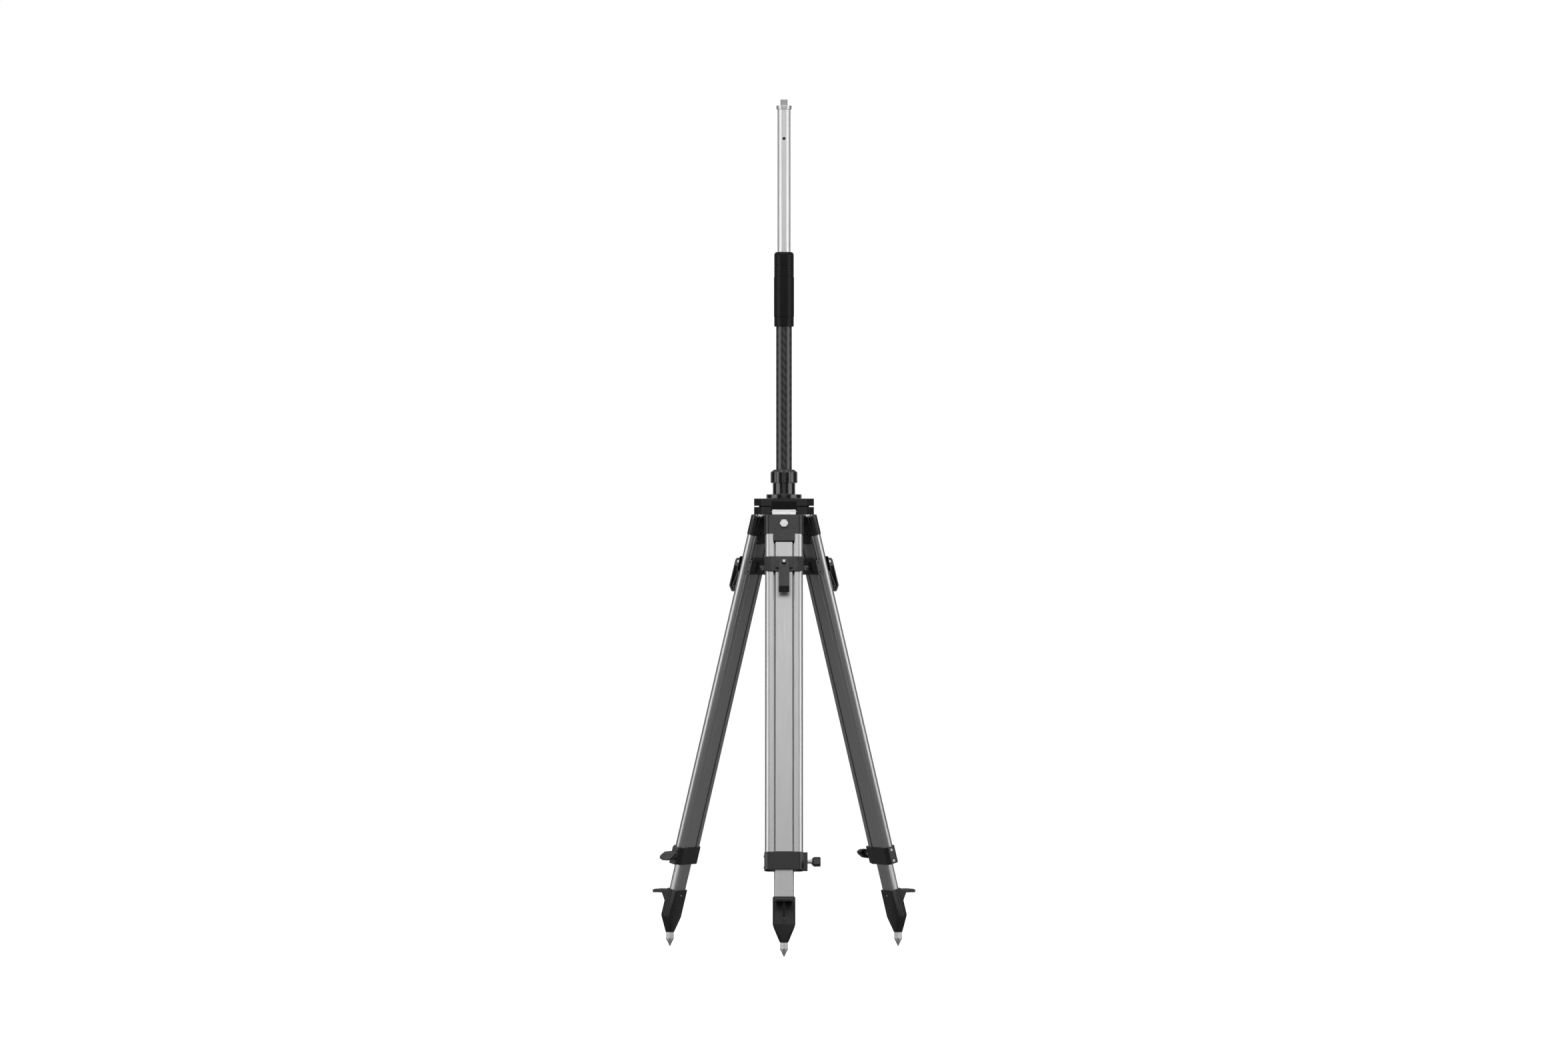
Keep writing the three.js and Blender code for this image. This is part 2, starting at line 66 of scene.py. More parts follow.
def leg_frame(k):
    """The leg's own frame, worked out from its joints."""
    up = -Vector(joints[f"leg_{k}_extend"]["axis"])
    hinge_line = Vector(joints[f"wing_screw_{k}_turn"]["axis"])
    out = hinge_line.cross(up)
    origin = Vector(joints[f"lever_{k}_swing"]["pos_m"]) - PIVOT_X * MM * out - PIVOT_Z * MM * up
    turn = Matrix((out, hinge_line, up)).transposed().to_4x4()
    return Matrix.Translation(origin) @ turn


leg_frames = {k: leg_frame(k) for k in LEGS}
hinge_world = Vector(joints["leg_1_spread"]["pos_m"])
hinge_in_leg = (leg_frames[1].inverted() @ hinge_world) / MM


def leg_turn(k):
    """Turn about the mast from the front leg to leg k."""
    return Matrix.Rotation(2 * math.pi * (k - 1) / 3, 4, "Z")


# ---- mesh tools ---------------------------------------------------------------------------------

AXES = {"x": (1, 2, 0), "y": (0, 2, 1), "z": (0, 1, 2)}


def as_object(bm):
    """A new object from a bmesh, with its faces turned outwards."""
    bmesh.ops.recalc_face_normals(bm, faces=bm.faces)
    mesh = bpy.data.meshes.new("tool")
    bm.to_mesh(mesh)
    bm.free()
    made = bpy.data.objects.new("tool", mesh)
    bpy.context.scene.collection.objects.link(made)
    return made


def prism(outline, low, high, axis="z"):
    """Extrudes a closed outline, given in the two directions across the axis, along the axis."""
    u, v, w = AXES[axis]
    bm = bmesh.new()
    ends = []
    for level in (low, high):
        end = []
        for p, q in outline:
            place = [0.0, 0.0, 0.0]
            place[u], place[v], place[w] = p * MM, q * MM, level * MM
            end.append(bm.verts.new(place))
        ends.append(end)
        bm.faces.new(end)
    count = len(outline)
    for i in range(count):
        j = (i + 1) % count
        bm.faces.new((ends[0][i], ends[0][j], ends[1][j], ends[1][i]))
    return as_object(bm)


def rectangle(x, y):
    """Closed outline between two limits each way."""
    return [(x[0], y[0]), (x[1], y[0]), (x[1], y[1]), (x[0], y[1])]


def mirrored(half):
    """Adds the other half of an outline, turned half a turn."""
    return half + [(-x, -y) for x, y in half]


def block(x, y, z):
    """Box between two limits each way."""
    return prism(rectangle(x, y), *z)


def lathe(profile, segments=72):
    """Turns a [radius, z] profile about the Z axis. It closes on itself or ends on the axis."""
    closed = profile[0] == profile[-1]
    points = profile[:-1] if closed else profile
    bm = bmesh.new()
    rings = []
    for radius, z in points:
        count = segments if radius > 0 else 1
        angles = [2 * math.pi * i / segments for i in range(count)]
        rings.append(
            [bm.verts.new((radius * math.cos(a) * MM, radius * math.sin(a) * MM, z * MM)) for a in angles]
        )
    pairs = list(zip(rings, rings[1:]))
    if closed:
        pairs.append((rings[-1], rings[0]))
    for lower, upper in pairs:
        for i in range(segments):
            j = (i + 1) % segments
            if len(lower) == 1:
                bm.faces.new((lower[0], upper[j], upper[i]))
            elif len(upper) == 1:
                bm.faces.new((lower[i], lower[j], upper[0]))
            else:
                bm.faces.new((lower[i], lower[j], upper[j], upper[i]))
    return as_object(bm)


def cylinder(radius, low, high, segments=48):
    """Solid cylinder about Z."""
    return lathe(rectangle((0.0, radius), (low, high)), segments)


def symmetric(half):
    """A turned profile from the part of it above z = 0."""
    return [(radius, -z) for radius, z in reversed(half)] + half


def circle(radius, centre=(0.0, 0.0), count=40, start=0.0, sweep=2 * math.pi):
    """Points round a circle, or along an arc of it with both ends."""
    steps = count if sweep >= 2 * math.pi - 1e-6 else count + 1
    angles = [start + sweep * i / count for i in range(steps)]
    return [(centre[0] + radius * math.cos(a), centre[1] + radius * math.sin(a)) for a in angles]


def hexagon(across):
    """Hexagon about the origin, given across its flats."""
    return circle(across / math.sqrt(3), count=6)


def rounded(points, radius, steps=5):
    """Turns each corner of a closed outline into an arc. radius is one value, or one for each corner."""
    radii = radius if isinstance(radius, (list, tuple)) else [radius] * len(points)
    made = []
    for i, point in enumerate(points):
        here = Vector(point)
        before = Vector(points[i - 1]) - here
        after = Vector(points[(i + 1) % len(points)]) - here
        corner = before.angle(after)
        if radii[i] <= 0 or corner > math.radians(178):
            made.append(tuple(here))
            continue
        reach = min(radii[i] / math.tan(corner / 2), 0.48 * before.length, 0.48 * after.length)
        true_radius = reach * math.tan(corner / 2)
        a, b = before.normalized(), after.normalized()
        centre = here + (a + b).normalized() * (true_radius / math.sin(corner / 2))
        first = here + a * reach - centre
        last = here + b * reach - centre
        turn = math.atan2(first.x * last.y - first.y * last.x, first.dot(last))
        for s in range(steps + 1):
            angle = turn * s / steps
            c, d = math.cos(angle), math.sin(angle)
            made.append((centre.x + first.x * c - first.y * d, centre.y + first.x * d + first.y * c))
    return made


def ring(profile, radius, segments=72, steps=4):
    """A hollow turned piece with rounded corners."""
    outline = rounded(profile, radius, steps)
    return lathe(outline + outline[:1], segments)


def tube(inside, outside, low, high, segments=128):
    """A plain hollow cylinder with its corners just broken."""
    return ring(rectangle((inside, outside), (low, high)), 0.3, segments)


def baked(made):
    """Applies every modifier of a piece."""
    graph = bpy.context.evaluated_depsgraph_get()
    mesh = bpy.data.meshes.new_from_object(made.evaluated_get(graph))
    made.modifiers.clear()
    old = made.data
    made.data = mesh
    bpy.data.meshes.remove(old)
    return made


def combined(base, operation, tools):
    """Boolean of a piece with each tool in turn. The tools are used up."""
    for tool in tools:
        step = base.modifiers.new("join", "BOOLEAN")
        step.operation = operation
        step.solver = "EXACT"
        step.object = tool
    baked(base)
    for tool in tools:
        mesh = tool.data
        bpy.data.objects.remove(tool)
        bpy.data.meshes.remove(mesh)
    return base


def joined(base, *tools):
    return combined(base, "UNION", tools)


def cut(base, *tools):
    return combined(base, "DIFFERENCE", tools)


def common(base, *tools):
    return combined(base, "INTERSECT", tools)


def gathered(pieces):
    """One object from separate small shells that don't touch."""
    bm = bmesh.new()
    for piece in pieces:
        bm.from_mesh(piece.data)
        mesh = piece.data
        bpy.data.objects.remove(piece)
        bpy.data.meshes.remove(mesh)
    return as_object(bm)


def moved(made, matrix):
    made.data.transform(matrix)
    return made


def turned_about_mast(make):
    """One copy of a tool at each leg. make() builds it for the front leg."""
    return [moved(make(), leg_turn(k)) for k in LEGS]


def along(made, axis, place=(0.0, 0.0, 0.0)):
    """Lays a turned piece, made about Z, along X or Y, at a place."""
    if axis == "x":
        made.data.transform(Matrix.Rotation(math.pi / 2, 4, "Y"))
    if axis == "y":
        made.data.transform(Matrix.Rotation(-math.pi / 2, 4, "X"))
    made.data.transform(Matrix.Translation(Vector(place) * MM))
    return made


def edged(made, width, segments=3, limit=32):
    """Rounds every edge sharper than the limit."""
    step = made.modifiers.new("edge", "BEVEL")
    step.width = width * MM
    step.segments = segments
    step.limit_method = "ANGLE"
    step.angle_limit = math.radians(limit)
    return baked(made)


def shaded(made, sharp=40):
    """Smooth shading, with edges sharper than the limit kept sharp."""
    bm = bmesh.new()
    bm.from_mesh(made.data)
    bmesh.ops.remove_doubles(bm, verts=bm.verts, dist=1e-7)
    bmesh.ops.dissolve_degenerate(bm, edges=bm.edges, dist=1e-7)
    for face in bm.faces:
        face.smooth = True
    for edge in bm.edges:
        edge.smooth = len(edge.link_faces) == 2 and edge.calc_face_angle(0.0) < math.radians(sharp)
    bm.to_mesh(made.data)
    bm.free()
    step = made.modifiers.new("normals", "WEIGHTED_NORMAL")
    step.keep_sharp = True
    return baked(made)


def shown(made, name, body, nodes, material):
    """Names a finished piece, gives it its finish and its body, and hides the CAD nodes it stands for."""
    made.name = name
    made.data.name = name
    made.data.materials.clear()
    made.data.materials.append(material)
    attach(made, body)
    if nodes:
        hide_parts(*nodes)
    return made


def on_each_leg(made, name, body, material, stands_for=True):
    """Puts one copy of a piece made in a leg's frame on each of the legs."""
    for k in LEGS:
        copy = made if k == LEGS[0] else bpy.data.objects.new(name, made.data)
        if k != LEGS[0]:
            bpy.context.scene.collection.objects.link(copy)
        copy.matrix_world = leg_frames[k]
        copy.name = f"{name}_{k}_fine"
        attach(copy, f"{body}_{k}")
        if stands_for:
            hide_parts(f"{name}_{k}")
    made.data.materials.clear()
    made.data.materials.append(material)
    made.data.name = name


# ---- materials ----------------------------------------------------------------------------------


class Finish:
    """A Principled material whose colour, roughness and bump come from nodes in object space."""

    def __init__(self, name, **fixed):
        self.material = bpy.data.materials.new(name)
        self.material.use_nodes = True
        self.tree = self.material.node_tree
        self.shader = self.tree.nodes["Principled BSDF"]
        for socket, value in fixed.items():
            self.shader.inputs[socket.replace("_", " ")].default_value = value
        self.place = self.node("ShaderNodeTexCoord").outputs["Object"]

    def node(self, kind, inputs=None, **settings):
        made = self.tree.nodes.new(kind)
        for key, value in settings.items():
            setattr(made, key, value)
        for socket, value in (inputs or {}).items():
            if isinstance(value, bpy.types.NodeSocket):
                self.tree.links.new(value, made.inputs[socket])
            else:
                made.inputs[socket].default_value = value
        return made

    def math(self, operation, first, second=0.0):
        return self.node("ShaderNodeMath", {0: first, 1: second}, operation=operation).outputs[0]

    def stretched(self, scale):
        inputs = {"Vector": self.place, "Scale": scale}
        return self.node("ShaderNodeMapping", inputs).outputs[0]

    def noise(self, scale, detail=2.0, vector=None):
        inputs = {"Vector": vector or self.place, "Scale": scale, "Detail": detail}
        return self.node("ShaderNodeTexNoise", inputs).outputs["Fac"]

    def ranged(self, value, low, high, start=0.3, end=0.7):
        inputs = {"Value": value, "From Min": start, "From Max": end, "To Min": low, "To Max": high}
        return self.node("ShaderNodeMapRange", inputs).outputs["Result"]

    def mixed(self, factor, first, second):
        inputs = {0: factor, 6: first, 7: second}
        return self.node("ShaderNodeMix", inputs, data_type="RGBA").outputs[2]

    def grey(self, value):
        return (value, value, value, 1.0)

    def painted_edge_highlight(self, radius, amount):
        """Mask for a painted edge highlight: 0 on open faces, up to 1 on edges, broken up by noise."""
        bevel = self.node("ShaderNodeBevel", {"Radius": radius * MM}, samples=4).outputs[0]
        normal = self.node("ShaderNodeNewGeometry").outputs["Normal"]
        facing = self.node("ShaderNodeVectorMath", {0: bevel, 1: normal}, operation="DOT_PRODUCT")
        edge = self.ranged(facing.outputs["Value"], 1.0, 0.0, 0.90, 0.995)
        return self.math("MULTIPLY", edge, self.ranged(self.noise(240.0), 0.25 * amount, amount))

    def bump(self, height, distance):
        inputs = {"Height": height, "Distance": distance * MM, "Strength": 1.0}
        return self.node("ShaderNodeBump", inputs).outputs[0]

    def set(self, socket, value):
        self.tree.links.new(value, self.shader.inputs[socket])


def casting(name, value, roughness, specular):
    """Black powder-coated die casting: fine grain, cloudy gloss, edges painted a little lighter as a painted
    highlight.
    """
    f = Finish(name, Specular_IOR_Level=specular)
    cloud = f.noise(34.0, 3.0)
    base = f.mixed(f.ranged(cloud, 0.0, 1.0), f.grey(value * 0.85), f.grey(value * 1.15))
    # Edges are mixed toward a lighter grey: a painted highlight.
    f.set("Base Color", f.mixed(f.painted_edge_highlight(0.5, 0.45), base, f.grey(0.075)))
    f.set("Roughness", f.ranged(f.noise(90.0, 2.0), roughness - 0.04, roughness + 0.04))
    f.set("Normal", f.bump(f.noise(1500.0, 2.0), 0.004))
    return f.material


def moulded():
    """Satin black moulded polymer with a very fine spark-eroded texture."""
    f = Finish("black_polymer", Specular_IOR_Level=0.22)
    base = f.mixed(f.ranged(f.noise(60.0, 3.0), 0.0, 1.0), f.grey(0.0025), f.grey(0.0040))
    # Edges are mixed toward a lighter grey: a painted highlight.
    f.set("Base Color", f.mixed(f.painted_edge_highlight(0.4, 0.3), base, f.grey(0.04)))
    f.set("Roughness", f.ranged(f.noise(130.0, 2.0), 0.40, 0.50))
    f.set("Normal", f.bump(f.noise(2600.0, 1.0), 0.008))
    return f.material


def glossy_moulded():
    """Polished black thermoset of the hand screws."""
    f = Finish("black_gloss", Specular_IOR_Level=0.6)
    base = f.mixed(f.ranged(f.noise(80.0, 3.0), 0.0, 1.0), f.grey(0.007), f.grey(0.010))
    # Edges are mixed toward a lighter grey: a painted highlight.
    f.set("Base Color", f.mixed(f.painted_edge_highlight(0.5, 0.35), base, f.grey(0.035)))
    f.set("Roughness", f.ranged(f.noise(100.0, 2.0), 0.20, 0.30))
    f.set("Normal", f.bump(f.noise(500.0, 2.0), 0.006))
    return f.material


def strip_steel():
    """Black-coated spring strip of the cam levers: drawn along its length, its edges painted brighter as a
    painted highlight.
    """
    f = Finish("black_strip", Specular_IOR_Level=0.6)
    grain = f.noise(1.0, 2.0, f.stretched((60.0, 2600.0, 60.0)))
    base = f.mixed(f.ranged(grain, 0.0, 1.0), f.grey(0.011), f.grey(0.017))
    # Edges are mixed toward a brighter grey: a painted highlight.
    f.set("Base Color", f.mixed(f.painted_edge_highlight(0.5, 0.6), base, f.grey(0.12)))
    f.set("Roughness", f.ranged(f.noise(120.0, 2.0), 0.28, 0.38))
    f.set("Normal", f.bump(grain, 0.006))
    return f.material


def anodised(name, value, roughness, streak, depth):
    """Satin anodised aluminium with fine drawing lines along Z."""
    f = Finish(name, Metallic=1.0)
    lines = f.noise(1.0, 3.0, f.stretched((streak, streak, 3.0)))
    cloud = f.noise(9.0, 3.0)
    shade = f.mixed(f.ranged(lines, 0.0, 1.0), f.grey(value * 0.985), f.grey(value * 1.015))
    f.set("Base Color", f.mixed(f.ranged(cloud, 0.0, 0.35), shade, f.grey(value * 0.94)))
    brushed = f.noise(1.0, 2.0, f.stretched((900.0, 900.0, 14.0)))
    f.set("Roughness", f.ranged(brushed, roughness - 0.05, roughness + 0.05))
    f.set("Normal", f.bump(lines, depth))
    return f.material


def plated():
    """Bright zinc-plated steel with faint turning marks and a cloudy polish."""
    f = Finish("plated_steel", Metallic=1.0)
    cloud = f.noise(160.0, 4.0)
    f.set("Base Color", f.mixed(f.ranged(cloud, 0.0, 1.0), f.grey(0.64), f.grey(0.72)))
    f.set("Roughness", f.ranged(f.noise(260.0, 3.0), 0.36, 0.46))
    f.set("Normal", f.bump(f.noise(900.0, 2.0), 0.006))
    return f.material


def machined():
    """Bright milled aluminium of the hinge barrels."""
    f = Finish("machined_alloy", Metallic=1.0)
    marks = f.noise(1.0, 2.0, f.stretched((500.0, 12.0, 500.0)))
    f.set("Base Color", f.mixed(f.ranged(marks, 0.0, 1.0), f.grey(0.72), f.grey(0.80)))
    f.set("Roughness", f.ranged(f.noise(140.0, 2.0), 0.34, 0.44))
    f.set("Normal", f.bump(marks, 0.006))
    return f.material


def carbon(radius, tows_round=24, tow_length=4.4):
    """Two-by-two twill of carbon tows under clear resin, laid round a tube about Z; the radius argument is
    not used.
    """
    f = Finish(
        "carbon_twill", Specular_IOR_Level=0.5, Coat_Weight=0.6, Coat_Roughness=0.16, Coat_IOR=1.5
    )
    axes = f.node("ShaderNodeSeparateXYZ", {0: f.place})
    angle = f.math("ARCTAN2", axes.outputs[1], axes.outputs[0])
    across = f.math("MULTIPLY", angle, tows_round / (2 * math.pi))
    up = f.math("MULTIPLY", axes.outputs[2], 1.0 / (tow_length * MM))
    step = f.math("ADD", f.math("FLOOR", across), f.math("FLOOR", up))
    phase = f.math("FLOORED_MODULO", step, 4.0)
    warp_over = f.math("LESS_THAN", phase, 1.5)
    crown_across = f.math("SINE", f.math("MULTIPLY", f.math("FRACT", across), math.pi))
    crown_up = f.math("SINE", f.math("MULTIPLY", f.math("FRACT", up), math.pi))
    # The tow on top is crowned across its own width.
    crown = f.math(
        "ADD",
        f.math("MULTIPLY", warp_over, crown_across),
        f.math("MULTIPLY", f.math("SUBTRACT", 1.0, warp_over), crown_up),
    )
    fibres = f.noise(1.0, 2.0, f.stretched((2400.0, 2400.0, 120.0)))
    # Tows lying one way are painted lighter than tows across them: a painted sheen for the fibres' highlight.
    painted_tow_sheen = f.mixed(warp_over, f.grey(0.011), f.grey(0.044))
    tow = f.mixed(f.ranged(fibres, 0.0, 0.5), painted_tow_sheen, f.grey(0.017))
    # Where the tows meet, the colour is darkened nearly to black: painted shade in the creases between tows.
    f.set("Base Color", f.mixed(f.ranged(crown, 0.75, 0.0, 0.0, 0.55), tow, f.grey(0.003)))
    f.set("Roughness", f.ranged(warp_over, 0.30, 0.44, 0.0, 1.0))
    f.set("Normal", f.bump(crown, 0.05))
    return f.material


HEAD_CASTING = casting("black_head_casting", 0.013, 0.27, 0.5)
CLAMP_CASTING = casting("black_clamp_casting", 0.008, 0.17, 0.9)
LEG_CASTING = casting("black_leg_casting", 0.013, 0.28, 0.5)
POLYMER = moulded()
GLOSS = glossy_moulded()
STRIP = strip_steel()
RAIL = anodised("anodised_rail", 0.50, 0.38, 1500.0, 0.0003)
ROD = anodised("anodised_rod", 0.84, 0.50, 1700.0, 0.0003)
STEEL = plated()
MACHINED = machined()
CARBON = carbon(POLE_RADIUS)


# ---- head ---------------------------------------------------------------------------------------

LONG_HALF, LONG_REACH = 47.0, -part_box("head_plate")[0].y / MM
PLATE_BORE = 24.3
LOWER_BOTTOM, LOWER_TOP = (corner.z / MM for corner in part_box("head_plate"))
UPPER_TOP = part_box("top_plate")[1].z / MM
UPPER_BOTTOM = LOWER_TOP + 2.5
NOTCH_HALF, NOTCH_FROM, POCKET_TOP = 27.3, 30.0, 955.6
HINGE_REACH, HINGE_Z = -hinge_world.y / MM, hinge_world.z / MM
PIN_HALF, PIN_HOLE_HALF = 46.0, 46.4


def plate_outline():
    """Six-sided plate, with a long side over each leg."""
    corners = []
    for k in LEGS:
        for side in (-1, 1):
            end = leg_turn(k) @ Vector((side * LONG_HALF, -LONG_REACH, 0.0))
            corners.append((end.x, end.y))
    return rounded(corners, 1.6)


def notch(half, top, bottom):
    """Maker of the tool that opens the plate's long side round the hinge."""
    return lambda: block((-half, half), (-70.0, -NOTCH_FROM), (bottom, top))


def pin_hole():
    """Blind hole for the hinge pin, across the notch."""
    return prism(circle(PIN_HOLE, (-HINGE_REACH, HINGE_Z)), -PIN_HOLE_HALF, PIN_HOLE_HALF, "x")


head_plate = prism(plate_outline(), LOWER_BOTTOM, LOWER_TOP)
cut(
    head_plate,
    prism(circle(PLATE_BORE, count=72), LOWER_BOTTOM - 1, LOWER_TOP + 1),
    *turned_about_mast(notch(NOTCH_HALF, LOWER_TOP + 1, LOWER_BOTTOM - 1)),
    *turned_about_mast(pin_hole),
)
edged(head_plate, 0.5)
shown(shaded(head_plate), "head_plate_fine", "head", ["head_plate"], HEAD_CASTING)

top_plate = prism(plate_outline(), UPPER_BOTTOM, UPPER_TOP)
POCKET_HALF = NOTCH_HALF - 0.5
cut(
    top_plate,
    prism(circle(PLATE_BORE, count=72), UPPER_BOTTOM - 1, UPPER_TOP + 1),
    *turned_about_mast(notch(POCKET_HALF, POCKET_TOP, UPPER_BOTTOM - 1)),
)
edged(top_plate, 0.5)


def pocket_shade_sheet():
    """Thin black sheet over the hinge barrel, its lower edge curved down in the middle: painted shade for the
    shadow inside the plate's pocket.
    """
    half, steps = POCKET_HALF - 0.1, 24
    edge = [-half + 2 * half * i / steps for i in range(steps + 1)]
    lower = [(y, 939.9 + 2.4 * (y / half) ** 2) for y in edge]
    outline = lower + [(half, POCKET_TOP - 0.1), (-half, POCKET_TOP - 0.1)]
    made = prism(outline, -LONG_REACH + 0.6, -LONG_REACH + 1.6, "x")
    return moved(made, Matrix.Rotation(math.pi / 2, 4, "Z"))


shown(shaded(top_plate), "top_plate_fine", "head", ["top_plate"], HEAD_CASTING)
spacer = tube(30.0, 47.0, LOWER_TOP + 0.15, UPPER_BOTTOM - 0.15, 96)
cut(spacer, *turned_about_mast(lambda: block((-NOTCH_HALF, NOTCH_HALF), (-70, -LONG_REACH + 2), (940, 950))))
shown(shaded(spacer), "spacer_ring_fine", "head", ["spacer_ring"], POLYMER)

clamp_body = ring(
    [
        (17.3, 930.0),
        (24.0, 930.0),
        (24.0, 962.3),
        (37.5, 962.3),
        (37.5, 971.0),
        (23.8, 971.0),
        (23.8, 995.0),
        (20.5, 995.0),
        (20.5, 1016.0),
        (17.3, 1016.0),
    ],
    [0.5, 0.5, 0.0, 0.5, 0.9, 1.4, 0.4, 0.0, 0.4, 0.4],
    96,
)
shown(shaded(clamp_body), "clamp_body_fine", "head", ["clamp_body"], CLAMP_CASTING)

GROOVES = 12
clamp_collar = ring(
    [
        (21.0, 995.3),
        (28.45, 995.3),
        (28.45, 1018.0),
        (21.45, 1023.8),
        (17.4, 1023.8),
        (17.4, 1017.0),
        (21.0, 1017.0),
    ],
    [0.3, 0.8, 0.8, 0.8, 0.5, 0.3, 0.3],
    144,
)
grooves = []
for i in range(GROOVES):
    groove = prism(rounded(rectangle((27.1, 40.0), (-2.1, 2.1)), 0.5, 3), 990.0, 1030.0)
    grooves.append(moved(groove, Matrix.Rotation(math.radians(-93.3 + 360.0 / GROOVES * i), 4, "Z")))
cut(clamp_collar, *grooves)
shown(
    shaded(edged(clamp_collar, 0.35, 2, 50)),
    "clamp_collar_fine",
    "clamp_collar",
    ["clamp_collar"],
    CLAMP_CASTING,
)


# Thin black sheets in the pockets above each hinge barrel: painted shade where the pocket's inside lies in
# shadow.
pocket_shades = gathered(turned_about_mast(pocket_shade_sheet))
shown(shaded(pocket_shades), "painted_pocket_shade", "head", [], POLYMER)


def cap_screw(radius, height, socket, depth):
    """Socket-head screw seen from outside, standing along Z on z = 0."""
    profile = [(0.0, -0.4), (radius, -0.4), (radius, height - 0.4), (radius - 0.4, height), (0.0, height)]
    return cut(lathe(profile, 40), prism(hexagon(socket), height - depth, height + 1))


plate_screws = []
for k in LEGS:
    for side in (-1, 1):
        screw = cap_screw(2.8, 2.0, 2.6, 1.3)
        screw.data.transform(Matrix.Rotation(math.pi, 4, "X"))
        place = Matrix.Translation(Vector((side * 44.0, -LONG_REACH + 5.5, LOWER_BOTTOM - 0.35)) * MM)
        plate_screws.append(moved(screw, leg_turn(k) @ place))
shown(shaded(gathered(plate_screws)), "plate_screws", "head", [], STEEL)

# ---- pole ---------------------------------------------------------------------------------------

POLE_BOTTOM, POLE_TOP = (corner.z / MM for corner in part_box("pole_tube"))
pole = tube(POLE_INSIDE, POLE_RADIUS, POLE_BOTTOM, POLE_TOP)
shown(shaded(pole), "pole_tube_fine", "pole", ["pole_tube"], CARBON)

pole_point = lathe(
    [(0.0, 0.0), (1.5, 0.0), (2.0, 0.5)]
    + [(11.5, 52.0), (12.4, 54.5), (16.0, 64.5), (16.15, 65.5), (16.15, 69.3), (15.8, 69.7), (14.5, 69.7)]
    + [(14.5, 110.0), (0.0, 110.0)],
    96,
)
shown(shaded(pole_point), "pole_point_fine", "pole", ["pole_point"], STEEL)

grip = ring(
    [
        (17.05, 1328.9),
        (20.8, 1328.9),
        (20.8, 1348.2),
        (20.3, 1348.2),
        (20.3, 1349.2),
        (21.4, 1349.2),
        (21.4, 1434.8),
        (20.3, 1434.8),
        (20.3, 1435.8),
        (20.8, 1435.8),
        (20.8, 1458.4),
        (17.05, 1458.4),
    ],
    [0.4, 1.0, 0.4, 0.1, 0.1, 0.7, 0.7, 0.1, 0.1, 0.4, 0.6, 0.4],
    128,
)
shown(shaded(grip), "grip_fine", "pole", ["grip"], POLYMER)

lock_ring = ring(
    [(14.3, 1458.8), (20.8, 1458.8), (20.8, 1482.7), (19.6, 1485.7), (16.8, 1487.7), (14.3, 1487.7)],
    [0.3, 0.6, 2.0, 2.0, 0.8, 0.4],
    128,
    6,
)
shown(shaded(lock_ring), "lock_ring_fine", "lock_ring", ["lock_ring"], POLYMER)

ROD_BOTTOM, ROD_TOP = (corner.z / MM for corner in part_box("extension_rod"))
rod = tube(ROD_INSIDE, ROD_RADIUS, ROD_BOTTOM, ROD_TOP)
cut(rod, prism(circle(3.25, (0.0, 1729.4)), -16, 0, "y"))
shown(shaded(rod), "extension_rod_fine", "extension", ["extension_rod"], ROD)


def threaded(root, crest, low, high, pitch, segments=64, rows_per_turn=10):
    """Screw thread about Z with its ends closed."""
    bm = bmesh.new()
    rows = int((high - low) / pitch * rows_per_turn)
    levels = []
    for row in range(rows + 1):
        z = low + (high - low) * row / rows
        fade = min(1.0, (high - z) / (0.8 * pitch))
        loop = []
        for i in range(segments):
            turn = i / segments
            wave = abs(((z / pitch - turn) % 1.0) * 2 - 1)
            tooth = min(1.0, max(0.0, (wave - 0.12) / 0.76))
            radius = root + (crest - root) * tooth * (0.25 + 0.75 * fade)
            angle = 2 * math.pi * turn
            loop.append(bm.verts.new((radius * math.cos(angle) * MM, radius * math.sin(angle) * MM, z * MM)))
        levels.append(loop)
    for lower, upper in zip(levels, levels[1:]):
        for i in range(segments):
            j = (i + 1) % segments
            bm.faces.new((lower[i], lower[j], upper[j], upper[i]))
    bm.faces.new(levels[0])
    bm.faces.new(levels[-1])
    return as_object(bm)


STUB_HEIGHT = 13.5
SEAT_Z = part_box("thread_adapter")[1].z / MM - STUB_HEIGHT
adapter_profile = [
    (0.0, ROD_TOP - 20),
    (11.6, ROD_TOP - 20),
    (12.0, ROD_TOP - 19.6),
    (12.0, SEAT_Z - 7.5),
    (15.8, SEAT_Z - 7.5),
    (16.15, SEAT_Z - 7.15),
    (16.15, SEAT_Z - 4.2),
    (15.7, SEAT_Z - 3.9),
    (15.7, SEAT_Z - 3.5),
    (16.15, SEAT_Z - 3.2),
    (16.15, SEAT_Z - 0.5),
    (15.65, SEAT_Z),
    (8.6, SEAT_Z),
    (8.6, SEAT_Z - 0.4),
    (6.9, SEAT_Z - 0.4),
    (6.9, SEAT_Z + 2.2),
    (0.0, SEAT_Z + 2.2),
]
adapter = lathe(adapter_profile, 128)
shown(shaded(adapter), "thread_adapter_fine", "extension", ["thread_adapter"], STEEL)
PITCH = 25.4 / 11  # eleven turns to the inch
stub = threaded(6.6, 7.94, SEAT_Z + 2.0, SEAT_Z + 13.3, PITCH)
shown(shaded(stub, 60), "instrument_thread", "extension", [], STEEL)

# ---- legs ---------------------------------------------------------------------------------------

RAIL_CENTRE, RAIL_RADIUS, RAIL_INSIDE = 29.0, 11.0, 22.0


